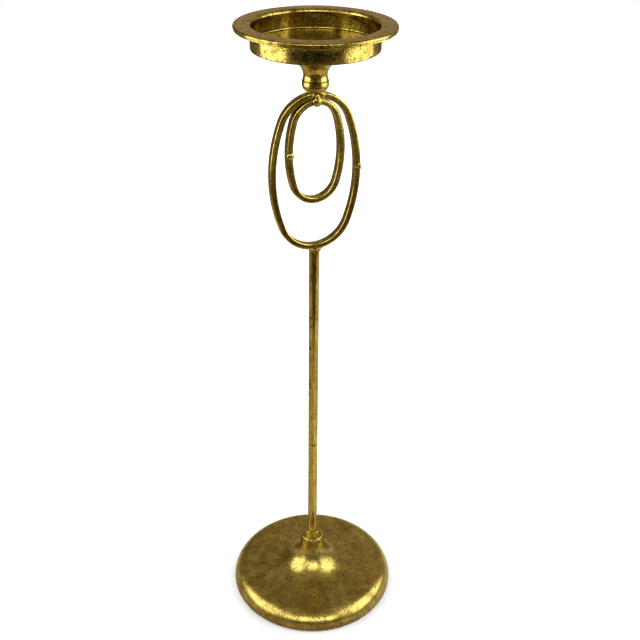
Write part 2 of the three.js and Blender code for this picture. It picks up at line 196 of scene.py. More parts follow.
def turned(name, outline, steps=192, longest=6 * mm, arc_segments=8, closed=False):
    """Draws half an outline by its corners (radius, height, corner radius) and spins it about Z."""
    bpy.ops.object.select_all(action="DESELECT")
    bpy.ops.mesh.primitive_plane_add(size=mm, location=(outline[0][0], 0, outline[0][1]))
    piece = bpy.context.object
    piece.name = name
    bpy.ops.object.transform_apply(location=True)
    bpy.ops.object.mode_set(mode="EDIT")
    bpy.ops.mesh.select_mode(type="VERT")
    bpy.ops.mesh.merge(type="CENTER")
    for here, there in zip(outline, outline[1:]):
        step = (there[0] - here[0], 0, there[1] - here[1])
        bpy.ops.mesh.extrude_vertices_move(TRANSFORM_OT_translate={"value": step})
    if closed:
        select_points(piece, outline[0], outline[-1])
        bpy.ops.mesh.edge_face_add()
    for before, corner, after in zip(outline, outline[1:], outline[2:]):
        if len(corner) > 2:
            round_corner(piece, before, corner, after, arc_segments)
    split_long_edges(piece, longest)
    bpy.ops.mesh.select_all(action="SELECT")
    bpy.ops.mesh.spin(steps=steps, angle=2 * math.pi, center=(0, 0, 0), axis=(0, 0, 1))
    bpy.ops.mesh.select_all(action="SELECT")
    bpy.ops.mesh.remove_doubles(threshold=mm / 1000)
    bpy.ops.mesh.normals_make_consistent(inside=False)
    bpy.ops.object.mode_set(mode="OBJECT")
    bpy.ops.object.shade_smooth_by_angle(angle=math.radians(40))
    return piece


def select_points(piece, *places):
    """Selects the outline's vertices nearest to these places (radius, height)."""
    bpy.ops.mesh.select_all(action="DESELECT")
    mesh = bmesh.from_edit_mesh(piece.data)
    for radius, height, *_ in places:
        near = min(mesh.verts, key=lambda v: math.hypot(v.co.x - radius, v.co.z - height))
        near.select = True
    bmesh.update_edit_mesh(piece.data)


def round_corner(piece, before, corner, after, segments):
    """Rounds one corner of the outline to its radius."""
    ways = [math.atan2(point[1] - corner[1], point[0] - corner[0]) for point in (before, after)]
    opening = abs((ways[0] - ways[1] + math.pi) % (2 * math.pi) - math.pi)
    select_points(piece, corner)
    bpy.ops.mesh.bevel(offset=corner[2] / math.tan(opening / 2), segments=segments,
                       affect="VERTICES")


def split_long_edges(piece, longest):
    """Cuts each long edge of the outline into equal lengths, so that the spun faces stay small."""
    mesh = bmesh.from_edit_mesh(piece.data)
    for edge in [e for e in mesh.edges if e.calc_length() > longest]:
        cuts = int(edge.calc_length() / longest)
        bmesh.ops.subdivide_edges(mesh, edges=[edge], cuts=cuts)
    bmesh.update_edit_mesh(piece.data)


def antique_gold(name, cloud, specks, speck=2 * mm, roughness=0.14, grain_relief=0.7, blotched=0.15,
                 drawn=1.0, lacquer=0.25, shade_and_grime=None, hollow=0.0, scuffs=()):
    """Worn gold paint and leaf on metal, which the eye reads as old brass under a thin clear lacquer.

    Olive gold clouds, darker wisps and rusty patches, and dark ragged specks that lie in groups.
    Cloud and speck are sizes in metres. Specks, blotched and lacquer go from 0, none, to 1.
    Drawn below 1 stretches the patches along the piece's height.
    Shade and grime are two heights: the surface is clean at the first, and towards the second it gets a
    painted shade and denser groups of specks.
    Hollow is the radius inside which the patina, never rubbed there, is left much darker.
    Scuffs holds dark marks, each its place and its half sizes.
    """
    material, shader, place = new_material(name)
    link = material.node_tree.links.new
    stretched = add_node(material, "ShaderNodeVectorMath", {0: place, 1: (1, 1, drawn)},
                         operation="MULTIPLY").outputs[0]

    def mottle(size, offset, detail=4, distortion=0):
        """An uneven pattern of one real size, from 0 to 1, moved by its own offset."""
        moved = add_node(material, "ShaderNodeVectorMath", {0: stretched, 1: (offset, offset, offset)})
        return add_node(material, "ShaderNodeTexNoise",
                        {"Vector": moved.outputs[0], "Scale": 1 / size, "Detail": detail,
                         "Distortion": distortion}).outputs["Fac"]

    def patches(none, full, size, offset, **shape):
        """Ragged patches: none at one level of their pattern, and full at another."""
        return add_node(material, "ShaderNodeMapRange",
                        {"Value": mottle(size, offset, **shape),
                         "From Min": none, "From Max": full}).outputs["Result"]

    def streaks(none, full, size, offset, **shape):
        """Thin winding lines: none and full at these distances from their pattern's middle level."""
        above = add_node(material, "ShaderNodeMath", {0: mottle(size, offset, **shape), 1: 0.5},
                         operation="SUBTRACT")
        away = add_node(material, "ShaderNodeMath", {0: above.outputs[0]}, operation="ABSOLUTE")
        return add_node(material, "ShaderNodeMapRange",
                        {"Value": away.outputs[0],
                         "From Min": none, "From Max": full}).outputs["Result"]

    clouds = patches(0.3, 0.7, cloud, 0, detail=7, distortion=0.4)
    wisps = patches(0.5, 0.66, cloud / 4, 0.3, detail=6, distortion=3)
    rust = patches(0.58, 0.68, 1.3 * cloud, 0.7, detail=7, distortion=0.6)
    grain = mottle(paint_grain, 1.1, detail=3)
    veins = streaks(0.025, 0, cloud / 3, 3.1, detail=3, distortion=4)
    blotches = patches(0.54, 0.6, cloud / 2, 6.1, detail=6)
    strokes = add_node(material, "ShaderNodeMath",
                       {0: streaks(0.07, 0.02, 1.8 * speck, 4.3, detail=2, distortion=3),
                        1: patches(0.36, 0.56, cloud / 2, 5.1)}, operation="MULTIPLY").outputs[0]

    # Painted shade low down: darker towards the lower height given, where the specks also gather.
    low_shade_and_grime = 0.0
    if shade_and_grime:
        height = add_node(material, "ShaderNodeSeparateXYZ", {0: place}).outputs["Z"]
        low_shade_and_grime = add_node(material, "ShaderNodeMapRange",
                        {"Value": height, "From Min": shade_and_grime[0], "From Max": shade_and_grime[1]}).outputs["Result"]
    groups = patches(0.6 - 0.25 * specks, 0.7 - 0.25 * specks, 5 * speck, 1.9, detail=5)
    groups = add_node(material, "ShaderNodeMath", {0: groups, 1: low_shade_and_grime}, operation="MAXIMUM").outputs[0]
    specked = patches(0.54, 0.6, speck, 2.3, detail=3, distortion=1)
    specked = add_node(material, "ShaderNodeMath", {0: specked, 1: groups},
                       operation="MULTIPLY").outputs[0]

    flat_place = add_node(material, "ShaderNodeVectorMath", {0: place, 1: (1, 1, 0)},
                          operation="MULTIPLY")
    reach = add_node(material, "ShaderNodeVectorMath", {0: flat_place.outputs[0]}, operation="LENGTH")
    unrubbed = add_node(material, "ShaderNodeMapRange",
                        {"Value": reach.outputs["Value"], "From Min": hollow,
                         "From Max": hollow - rubbed_border}).outputs["Result"]

    scuffed = 0.0
    for mark_place, half_sizes in scuffs:
        off = add_node(material, "ShaderNodeVectorMath", {0: place, 1: mark_place},
                       operation="SUBTRACT")
        off = add_node(material, "ShaderNodeVectorMath", {0: off.outputs[0], 1: half_sizes},
                       operation="DIVIDE")
        off = add_node(material, "ShaderNodeVectorMath", {0: off.outputs[0]}, operation="LENGTH")
        ragged = add_node(material, "ShaderNodeMath", {0: off.outputs["Value"], 1: mottle(speck, 7.7)})
        mark = add_node(material, "ShaderNodeMapRange",
                        {"Value": ragged.outputs[0], "From Min": 1.5, "From Max": 1.2})
        scuffed = add_node(material, "ShaderNodeMath", {0: scuffed, 1: mark.outputs["Result"]},
                           operation="MAXIMUM").outputs[0]

    gold = add_node(material, "ShaderNodeMix",
                    {"Factor": clouds, 6: linear("937d2e"), 7: linear("b8a954")}, data_type="RGBA")
    stains = [  # where, how strong, and the colour, from the bottom up
        (wisps, 0.25, "523e08"),
        (rust, 0.4, "8c5a1c"),
        (veins, 0.5, "3c2a08"),
        (strokes, 0.65, "4a3408"),
        (blotches, blotched, "3c2a0c"),
        # painted shade, darker towards the bottom
        (low_shade_and_grime, 0.35, "33220a"),
        (unrubbed, 0.5, "2c1c06"),
        (specked, 0.9, "241404"),
        (scuffed, 0.75, "2c1a06"),
    ]
    for where, strength, colour in stains:
        share = add_node(material, "ShaderNodeMath", {0: where, 1: strength}, operation="MULTIPLY")
        gold = add_node(material, "ShaderNodeMix",
                        {"Factor": share.outputs[0], 6: gold.outputs[2], 7: linear(colour)},
                        data_type="RGBA")

    rough = add_node(material, "ShaderNodeMath", {0: grain, 1: 0.12, 2: roughness - 0.06},
                     operation="MULTIPLY_ADD")
    rough = add_node(material, "ShaderNodeMath", {0: specked, 1: 0.2, 2: rough.outputs[0]},
                     operation="MULTIPLY_ADD")
    pits = add_node(material, "ShaderNodeMath", {0: specked, 1: -0.4}, operation="MULTIPLY")
    relief = add_node(material, "ShaderNodeMath", {0: grain, 1: grain_relief, 2: pits.outputs[0]},
                      operation="MULTIPLY_ADD")
    bump = add_node(material, "ShaderNodeBump",
                    {"Height": relief.outputs[0], "Strength": 0.7, "Distance": paint_relief})
    link(gold.outputs[2], shader.inputs["Base Color"])
    link(rough.outputs[0], shader.inputs["Roughness"])
    link(bump.outputs["Normal"], shader.inputs["Normal"])
    link(bump.outputs["Normal"], shader.inputs["Coat Normal"])
    shader.inputs["Metallic"].default_value = 1
    shader.inputs["Coat Weight"].default_value = lacquer
    shader.inputs["Coat Roughness"].default_value = 0.1
    shader.inputs["Specular Tint"].default_value = linear("f0e4c8")
    return material


def shifted(a, b, distance):
    """The line through two outline points, moved to its right."""
    way = Vector((b[0] - a[0], b[1] - a[1])).normalized()
    side = Vector((way.y, -way.x)) * distance
    return Vector(a[:2]) + side, Vector(b[:2]) + side


def height_at(line, radius):
    """The height of a line at a radius."""
    share = (radius - line[0].x) / (line[1].x - line[0].x)
    return line[0].y + share * (line[1].y - line[0].y)


def radius_at(line, height):
    """The radius of a line at a height."""
    share = (height - line[0].y) / (line[1].y - line[0].y)
    return line[0].x + share * (line[1].x - line[0].x)


dome_edge = (foot_radius, foot_low.z + band_height)
cone_start = (cone_foot, dome_edge[1] + dome_rise)
lip = (lip_radius, foot_high.z)
inner_cone = shifted(lip, cone_start, foot_wall)
inner_dome = shifted(cone_start, dome_edge, foot_wall)
slope_cone = (inner_cone[1].x - inner_cone[0].x) / (inner_cone[1].y - inner_cone[0].y)
slope_dome = (inner_dome[1].y - inner_dome[0].y) / (inner_dome[1].x - inner_dome[0].x)
meet_height = (
    inner_dome[0].y + slope_dome * (inner_cone[0].x - slope_cone * inner_cone[0].y - inner_dome[0].x)
) / (1 - slope_dome * slope_cone)
meet_radius = radius_at(inner_cone, meet_height)
rim_inside = foot_radius - rim_width
deck = foot_high.z - deck_thickness
foot = turned("foot", [
    (rim_inside, foot_low.z),
    (foot_radius, foot_low.z, rim_edge),
    (*dome_edge, shoulder),
    (*cone_start, flare),
    (*lip, lip_edge),
    (stud_hole, foot_high.z),
    (stud_hole, deck),
    (washer_seat, deck),
    (radius_at(inner_cone, deck - deck_step), deck - deck_step, deck_round),
    (meet_radius, meet_height, flare + foot_wall),
    (rim_inside, height_at(inner_dome, rim_inside), rim_edge),
], steps=224, longest=3 * mm, closed=True)
uneven(foot, "casting waves", casting_wave, casting_wave_depth)
apply_all(foot)
cast_gold = antique_gold("antique gold on a sand casting", cloud=20 * mm, speck=1.7 * mm, specks=0.6,
                         roughness=0.25, grain_relief=1.1, lacquer=0.4, shade_and_grime=foot_shade_and_grime)
seat(foot, cast_gold, "antique_gold_casting", "foot_casting")

# Washer, spring washer and nut under the foot
# Zinc-plated steel from the hardware shelf. Turning them tight clamps the foot on the stem.
# Zinc passivate is a dull, faintly blue grey, and stamping leaves the washer's edge rounded.
zinc_edge = 0.2 * mm
zinc_bloom = 2 * mm
half_flats = 6.5 * mm  # an M8 nut is 13 mm across its flats
nut_chamfer = math.radians(30)
bore_edge = 0.5 * mm
spring_half_gap = 0.8 * mm


def zinc(name):
    material, shader, place = new_material(name)
    link = material.node_tree.links.new
    bloom = add_node(material, "ShaderNodeTexNoise",
                     {"Vector": place, "Scale": 1 / zinc_bloom, "Detail": 5})
    shade = add_node(material, "ShaderNodeMix",
                     {"Factor": bloom.outputs["Fac"], 6: linear("8b8c8a"), 7: linear("b4b6b8")},
                     data_type="RGBA")
    rough = add_node(material, "ShaderNodeMapRange",
                     {"Value": bloom.outputs["Fac"], "To Min": 0.3, "To Max": 0.55})
    link(shade.outputs[2], shader.inputs["Base Color"])
    link(rough.outputs["Result"], shader.inputs["Roughness"])
    shader.inputs["Metallic"].default_value = 1
    return material


def hex_nut(name, node, turn, bore, worn=0.12 * mm):
    """A hexagon cut by a cone at both ends, with a bore through it and worn edges."""
    low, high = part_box(node)
    corner = half_flats / math.cos(math.pi / 6)
    chamfer = (corner - half_flats) * math.tan(nut_chamfer)
    bpy.ops.object.select_all(action="DESELECT")
    bpy.ops.mesh.primitive_cylinder_add(vertices=6, radius=corner, depth=high.z - low.z,
                                        location=(0, 0, (low.z + high.z) / 2),
                                        rotation=(0, 0, turn))
    nut = bpy.context.object
    nut.name = name
    bpy.ops.object.transform_apply()
    barrel = turned(name + " barrel", [
        (bore, low.z + bore_edge),
        (bore + bore_edge, low.z),
        (half_flats, low.z),
        (corner, low.z + chamfer),
        (corner, high.z - chamfer),
        (half_flats, high.z),
        (bore + bore_edge, high.z),
        (bore, high.z - bore_edge),
    ], steps=96, closed=True)
    bpy.context.view_layer.objects.active = nut
    shape = nut.modifiers.new("chamfers and bore", "BOOLEAN")
    shape.operation = "INTERSECT"
    shape.object = barrel
    shape.solver = "EXACT"
    edge = nut.modifiers.new("worn edges", "BEVEL")
    edge.width = worn
    edge.segments = 3
    edge.limit_method = "ANGLE"
    edge.angle_limit = math.radians(25)
    apply_all(nut)
    bpy.data.objects.remove(barrel)
    bpy.ops.object.select_all(action="DESELECT")
    nut.select_set(True)
    bpy.ops.object.shade_smooth_by_angle(angle=math.radians(30))
    return nut


plated = zinc("zinc-plated steel")
washer_low, washer_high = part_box("foot_washer")
washer = turned("washer", [
    (stud_hole, washer_low.z),
    (washer_high.x, washer_low.z, zinc_edge),
    (washer_high.x, washer_high.z, zinc_edge),
    (stud_hole, washer_high.z),
], steps=96, arc_segments=3, closed=True)
seat(washer, plated, "zinc_plated_steel", "foot_washer")

spring_low, spring_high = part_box("foot_spring_washer")
spring_split = math.asin(spring_half_gap / stud_hole)
spring_section = ((spring_high.x + stud_hole) / 2, 0, (spring_low.z + spring_high.z) / 2)
bpy.ops.object.select_all(action="DESELECT")
bpy.ops.mesh.primitive_plane_add(size=1, location=spring_section, rotation=(math.pi / 2, 0, 0))
spring_washer = bpy.context.object
spring_washer.name = "spring_washer"
spring_washer.scale = (spring_high.x - stud_hole, spring_high.z - spring_low.z, 1)
bpy.ops.object.transform_apply()
bpy.ops.object.mode_set(mode="EDIT")
bpy.ops.mesh.select_all(action="SELECT")
bpy.ops.mesh.bevel(offset=zinc_edge, segments=3, affect="VERTICES")
bpy.ops.transform.rotate(value=-spring_split, orient_axis="Z", center_override=(0, 0, 0))
bpy.ops.mesh.spin(steps=88, angle=2 * math.pi - 2 * spring_split, center=(0, 0, 0), axis=(0, 0, 1))
bpy.ops.mesh.select_all(action="SELECT")
bpy.ops.mesh.remove_doubles(threshold=mm / 1000)
bpy.ops.mesh.normals_make_consistent(inside=False)
bpy.ops.object.mode_set(mode="OBJECT")
bpy.ops.object.shade_smooth_by_angle(angle=math.radians(40))
seat(spring_washer, plated, "zinc_plated_steel", "foot_spring_washer")

clamp_nut = hex_nut("clamp_nut", "foot_nut", 0, stud_hole)
seat(clamp_nut, plated, "zinc_plated_steel", "foot_nut")

# Lock nut on the foot's lip
# The same hexagon, turned down on the stem's stud and painted with the rest, over drawn steel.
# Its edges are worn, and one corner stands towards the front.
lock_nut_turn = math.radians(-21)
lock_nut_wear = 0.45 * mm
stem_scuffs = (  # a nick, and a smear just above the nut
    ((-0.6 * mm, -4.9 * mm, 187 * mm), (3.6 * mm, 5 * mm, 1.7 * mm)),
    ((-1 * mm, -4.9 * mm, 88 * mm), (1.1 * mm, 2 * mm, 10 * mm)),
)
steel_gold = antique_gold("antique gold on drawn steel", cloud=11 * mm, specks=0.3, drawn=0.35,
                          lacquer=0.35, scuffs=stem_scuffs)
lock_nut = hex_nut("lock_nut", "stem_lock_nut", lock_nut_turn, stud_hole, lock_nut_wear)
seat(lock_nut, steel_gold, "antique_gold_steel", "stem_lock_nut")

# Stem
# Drawn round bar, with its lower end turned down to a threaded stud that ends in an undercut.
# It is painted as the nut is. The paint is rubbed along it, and handling has left two dark marks.
stem_low, stem_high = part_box("stem")
stem_radius = stem_high.x
stem_edge = 0.3 * mm
stud_radius = 4 * mm
stud_chamfer = 0.8 * mm
stud_pitch = 1.25 * mm
stud_thread_depth = 0.6 * mm
undercut = 1 * mm
seat_gap = 0.3 * mm
shoulder_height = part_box("stem_lock_nut")[1].z + seat_gap
thread_crest = 0.08 * mm
thread_root = 0.1 * mm


def thread(radius, low, high, pitch, depth):
    """The outline of a thread's crests and roots, from low to high."""
    turns = int((high - low) / pitch)
    start = high - turns * pitch
    crests = [(radius, start + i * pitch, thread_crest) for i in range(turns)]
    roots = [(radius - depth, start + (i + 0.5) * pitch, thread_root) for i in range(turns)]
    return [point for pair in zip(crests, roots) for point in pair]


stem = turned("stem_rod", [
    (0, stem_low.z),
    (stud_radius - stud_chamfer, stem_low.z),
    *thread(stud_radius, stem_low.z + stud_chamfer, shoulder_height - undercut, stud_pitch,
            stud_thread_depth),
    (stud_radius - stud_thread_depth, shoulder_height),
    (stem_radius, shoulder_height, stem_edge),
    (stem_radius, stem_high.z, stem_edge),
    (0, stem_high.z),
], steps=96, arc_segments=3)
seat(stem, steel_gold, "antique_gold_steel", "stem")

# Rings
# Flat bar bent cold into two ovals of four arcs, each closed by a weld, edges rolled round.
# The small one is turned a few degrees from the large one and hangs from the same crown.
bar_thickness = 5.6 * mm
bar_width = 8 * mm
bar_edge = 1.2 * mm
large_oval = (40.4, 71.5, 33.6)  # half width, half height and end radius, in millimetres
small_oval = (25.4, 45.4, 22)
small_ring_turn = math.radians(4.5)
bend_step = math.radians(3)


def oval_arcs(half_width, half_height, end_radius):
    """How far the end arcs' and the side arcs' centres lie out, and half a side arc's angle."""
    end_centre = half_height - end_radius
    side_radius = ((half_width ** 2 - end_radius ** 2 + end_centre ** 2)
                   / (2 * (half_width - end_radius)))
    side_centre = side_radius - half_width
    return end_centre, side_centre, math.atan2(end_centre, side_centre)


def bent_ring(name, oval, middle, turn=0.0):
    """A bar's section spun through the oval's arcs, one after the other, in the XZ plane."""
    half_width, half_height, end_radius = (size * mm for size in oval)
    end_centre, side_centre, side_angle = oval_arcs(half_width, half_height, end_radius)
    end_angle = math.pi - 2 * side_angle
    bpy.ops.object.select_all(action="DESELECT")
    bpy.ops.mesh.primitive_plane_add(size=1, location=(half_width, 0, middle))
    ring = bpy.context.object
    ring.name = name
    ring.scale = (bar_thickness, bar_width, 1)
    bpy.ops.object.transform_apply()
    bpy.ops.object.mode_set(mode="EDIT")
    bpy.ops.mesh.select_all(action="SELECT")
    bpy.ops.mesh.bevel(offset=bar_edge, segments=5, affect="VERTICES")
    for x, z, angle in [(-side_centre, 0, side_angle), (0, end_centre, end_angle),
                        (side_centre, 0, 2 * side_angle), (0, -end_centre, end_angle),
                        (-side_centre, 0, side_angle)]:
        steps = max(8, round(angle / bend_step))
        bpy.ops.mesh.spin(steps=steps, angle=angle, center=(x, 0, middle + z), axis=(0, 1, 0))
    bpy.ops.mesh.select_all(action="SELECT")
    bpy.ops.mesh.remove_doubles(threshold=mm / 100)
    bpy.ops.mesh.normals_make_consistent(inside=False)
    bpy.ops.object.mode_set(mode="OBJECT")
    ring.rotation_euler.z = turn
    bpy.ops.object.transform_apply()
    bpy.ops.object.shade_smooth_by_angle(angle=math.radians(30))
    return ring


large_low, large_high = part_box("outer_ring")
small_low, small_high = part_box("inner_ring")
large_middle = (large_low.z + large_high.z) / 2
small_middle = (small_low.z + small_high.z) / 2
bar_gold = antique_gold("antique gold on bent bar", cloud=9 * mm, specks=0.15, roughness=0.12)
large_ring = bent_ring("large_ring", large_oval, large_middle)
seat(large_ring, bar_gold, "antique_gold_steel", "outer_ring")
small_ring = bent_ring("small_ring", small_oval, small_middle, small_ring_turn)
seat(small_ring, bar_gold, "antique_gold_steel", "inner_ring")

# Welds on the rings and the stem
# Beads of weld metal, cooled into lumps and painted over. They sink into the bars that they join.
# One closes each oval, one holds the stem, and the drops at the crown hang the small ring.
weld_voxel = 0.22 * mm
weld_wave = 1.6 * mm
weld_wave_depth = 0.25 * mm
weld_gold = antique_gold("antique gold on weld beads", cloud=5 * mm, specks=0.2, roughness=0.22,
                         blotched=0.6)


def blob(place, size):
    """A ball stretched to half sizes, as a start for weld metal."""
    bpy.ops.mesh.primitive_ico_sphere_add(subdivisions=4, radius=1, location=place, scale=size)
    bpy.ops.object.transform_apply()
    return bpy.context.object


def weld_bead(name, *blobs):
    """Runs blobs, each a place and its half sizes in millimetres, together into one lumpy bead."""
    bpy.ops.object.select_all(action="DESELECT")
    made = [blob(Vector(place) * mm, Vector(size) * mm) for place, size in blobs]
    for piece in made:
        piece.select_set(True)
    if len(made) > 1:
        bpy.ops.object.join()
    bead = bpy.context.object
    bead.name = name
    flow = bead.modifiers.new("flowed together", "REMESH")
    flow.mode = "VOXEL"
    flow.voxel_size = weld_voxel
    settle = bead.modifiers.new("settled", "SMOOTH")
    settle.factor = 0.5
    settle.iterations = 6
    uneven(bead, name + " ripples", weld_wave, weld_wave_depth)
    apply_all(bead)
    bpy.ops.object.shade_smooth()
    return bead


def on_limb(oval, middle, side, height, turn=0.0):
    """A place on a ring's side limb, in millimetres, at a height above the ring's middle."""
    half_width, half_height, end_radius = oval
    _, side_centre, _ = oval_arcs(half_width, half_height, end_radius)
    side_radius = side_centre + half_width
    reach = math.sqrt(side_radius ** 2 - height ** 2) - side_centre
    return Matrix.Rotation(turn, 3, "Z") @ Vector((side * reach, 0, middle / mm + height))


crown = large_high.z / mm
face = bar_width / mm / 2
crown_weld = weld_bead(
    "crown_bead",
    ((0, 0, crown + 0.7), (7.4, 7.0, 1.5)),
    ((-5.2, -face + 0.2, crown - 2.0), (3.4, 2.2, 2.6)),
    ((5.0, -face + 0.3, crown - 2.2), (3.2, 2.2, 3.2)),
    ((-5.2, face - 0.3, crown - 2.0), (2.8, 2.3, 3.2)),
    ((5.4, face - 0.2, crown - 1.5), (2.5, 2.3, 2.6)),
)
seat(crown_weld, weld_gold, "antique_gold_steel", "crown_weld")
for name, node, side in [("front_drop", "hanger_weld_front", -1),
                         ("back_drop", "hanger_weld_back", 1)]:
    drop = weld_bead(
        name,
        ((0, side * (face + 1.0), crown - 7.6), (4.5, 2.6, 4.4)),
        ((0, side * (face + 1.0), crown - 4.4), (2.4, 2.2, 4.2)),
    )
    seat(drop, weld_gold, "antique_gold_steel", node)
stem_top = stem_high.z / mm
stem_collar = weld_bead(
    "stem_collar",
    ((0, 0, stem_top + 0.4), (5.9, 5.6, 1.3)),
    ((5.0, -1.6, stem_top + 1.0), (3.2, 2.2, 1.5)),
    ((3.9, -2.4, stem_top - 0.6), (1.9, 1.9, 1.9)),
    ((-4.4, -1.8, stem_top + 0.3), (2.0, 2.2, 1.6)),
    ((-0.4, 4.0, stem_top + 0.1), (3.0, 2.2, 1.8)),
)
seat(stem_collar, weld_gold, "antique_gold_steel", "stem_top_weld")
large_joint = on_limb(large_oval, large_middle, side=1, height=2)
large_seam = weld_bead(
    "large_ring_seam",
    (large_joint, (3.3, 4.3, 1.7)),
    (large_joint + Vector((1.6, -face + 1.2, 0.4)), (2.1, 2.2, 4.0)),
    (large_joint + Vector((2.4, 0, 0.4)), (1.6, 3.4, 3.2)),
    (large_joint + Vector((-2.5, -face + 1.2, -0.6)), (1.3, 1.9, 1.4)),
    (large_joint + Vector((-2.7, -face + 1.4, 2.0)), (0.9, 1.6, 1.0)),
)
seat(large_seam, weld_gold, "antique_gold_steel", "outer_ring_seam_weld")
small_joint = on_limb(small_oval, small_middle, side=-1, height=-0.6, turn=small_ring_turn)
small_seam = weld_bead(
    "small_ring_seam",
    (small_joint, (3.1, 4.3, 1.6)),
    (small_joint + Vector((0.3, -face + 0.6, 1.0)), (3.6, 2.6, 3.5)),
    (small_joint + Vector((-0.3, face - 0.2, 0)), (2.4, 1.2, 2.3)),
)
seat(small_seam, weld_gold, "antique_gold_steel", "inner_ring_seam_weld")

# Neck
# Two pieces turned from round bar: a bead with a rounded foot, and a trumpet that carries the pan.
# Turning leaves them smooth, so their paint shines more than the castings' does.
bead_low, bead_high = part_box("neck_bead")
trumpet_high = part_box("neck_trumpet")[1]
seam = bead_high.z
seam_chamfer = 0.5 * mm
turned_edge = 0.2 * mm
bead_radius = 11.7 * mm
bead_round = 5.2 * mm
trumpet_foot = 11.25 * mm
waist_radius = 10.5 * mm
waist_low = seam + 3.4 * mm
waist_low_round = 4 * mm
waist_high = seam + 10.5 * mm
waist_high_round = 12 * mm
trumpet_mouth = 30 * mm
trumpet_rim = 2 * mm
trumpet_edge = 0.4 * mm
screw_hole = 3.3 * mm
screw_hole_depth = 7.1 * mm
turned_gold = antique_gold("antique gold on turned steel", cloud=8 * mm, specks=0.3, roughness=0.18)
bead = turned("bead", [
    (0, bead_low.z),
    (bead_radius, bead_low.z, bead_round),
    (bead_radius, seam - seam_chamfer, turned_edge),
    (bead_radius - seam_chamfer, seam, turned_edge),
    (screw_hole, seam),
    (screw_hole, seam - screw_hole_depth),
    (0, seam - screw_hole_depth),
], steps=128, longest=2 * mm)
seat(bead, turned_gold, "antique_gold_steel", "neck_bead")
trumpet = turned("trumpet", [
    (screw_hole, seam),
    (trumpet_foot - seam_chamfer, seam, turned_edge),
    (trumpet_foot, seam + seam_chamfer, turned_edge),
    (waist_radius, waist_low, waist_low_round),
    (waist_radius, waist_high, waist_high_round),
    (trumpet_mouth, trumpet_high.z - trumpet_rim, trumpet_edge),
    (trumpet_mouth, trumpet_high.z, trumpet_edge),
    (screw_hole, trumpet_high.z),
], steps=128, longest=2 * mm, closed=True)
seat(trumpet, turned_gold, "antique_gold_steel", "neck_trumpet")

# Drip pan
# A cast and turned pan with a level brim. Its bell mouth and its rolled edge catch the light.
# Nobody rubs its floor, so the patina there is darker, and its underside has a painted shade. A screw
# in the floor holds it on the neck.
pan_low, pan_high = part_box("drip_pan")
pan_radius = 55.2 * mm
pan_wall = 1.5 * mm
pan_floor = pan_low.z + 4 * mm
pan_foot_edge = 0.8 * mm
pan_corner = 1.2 * mm
# painted shade on the pan's underside, darkest at its bottom face, with denser specks there
pan_shade_and_grime = (pan_low.z + 1.8 * mm, pan_low.z + 0.4 * mm)
brim_under = pan_high.z - 4.2 * mm
brim_radius = pan_high.x
brim_edge = 1.5 * mm
brim_mouth = 2.8 * mm
brim_fillet = 4 * mm
brim_bead = 0.6 * mm
groove_depth = 0.5 * mm
groove_low = brim_under + 1.6 * mm
groove_high = brim_under + 2 * mm
countersink_radius = 6.3 * mm
countersink_depth = 3.3 * mm
pan = turned("pan", [
    (screw_hole, pan_low.z),
    (pan_radius, pan_low.z, pan_foot_edge),
    (pan_radius, brim_under, brim_fillet),
    (brim_radius - groove_depth, brim_under, brim_bead),
    (brim_radius - groove_depth, groove_low, brim_bead / 2),
    (brim_radius, groove_high, brim_bead / 2),
    (brim_radius, pan_high.z, brim_edge),
    (pan_radius - pan_wall, pan_high.z, brim_mouth),
    (pan_radius - pan_wall, pan_floor, pan_corner),
    (countersink_radius, pan_floor),
    (screw_hole, pan_floor - countersink_depth),
], steps=256, longest=4 * mm, closed=True)
pan_gold = antique_gold("antique gold on the pan", cloud=14 * mm, speck=1.5 * mm, specks=0.8,
                        grain_relief=0.5, blotched=0.5, lacquer=0.15, shade_and_grime=pan_shade_and_grime,
                        hollow=pan_radius - pan_wall - rubbed_border / 2)
seat(pan, pan_gold, "antique_gold_casting", "drip_pan")

# Pan screw
# A countersunk M6 socket screw in zinc-plated steel, flush in the floor.
# It goes through the pan and the trumpet into the bead, and pulls the three together.
screw_low, screw_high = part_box("pan_screw")
screw_radius = 3 * mm
screw_tip = 0.7 * mm
screw_thread_top = screw_low.z + 20 * mm
screw_pitch = 1 * mm
screw_thread_depth = 0.5 * mm
screw_head = 3 * mm
screw_head_rim = 0.2 * mm
socket_half_flats = 2 * mm
socket_depth = 2 * mm
screw = turned("countersunk_screw", [
    (0, screw_low.z),
    (screw_radius - screw_tip, screw_low.z),
    *thread(screw_radius, screw_low.z + screw_tip, screw_thread_top, screw_pitch, screw_thread_depth),
    (screw_radius, screw_thread_top),
    (screw_radius, screw_high.z - screw_head),
    (screw_high.x, screw_high.z - screw_head_rim),
    (screw_high.x, screw_high.z),
    (0, screw_high.z),
], steps=96, arc_segments=2)
bpy.ops.mesh.primitive_cylinder_add(vertices=6, radius=socket_half_flats / math.cos(math.pi / 6),
                                    depth=2 * socket_depth, location=(0, 0, screw_high.z))
socket = bpy.context.object
bpy.ops.object.transform_apply(location=True)
bpy.ops.object.select_all(action="DESELECT")
screw.select_set(True)
bpy.context.view_layer.objects.active = screw
recess = screw.modifiers.new("hexagon socket", "BOOLEAN")
recess.operation = "DIFFERENCE"
recess.object = socket
recess.solver = "EXACT"
apply_all(screw)
bpy.data.objects.remove(socket)
bpy.ops.object.shade_smooth_by_angle(angle=math.radians(30))
seat(screw, plated, "zinc_plated_steel", "pan_screw")

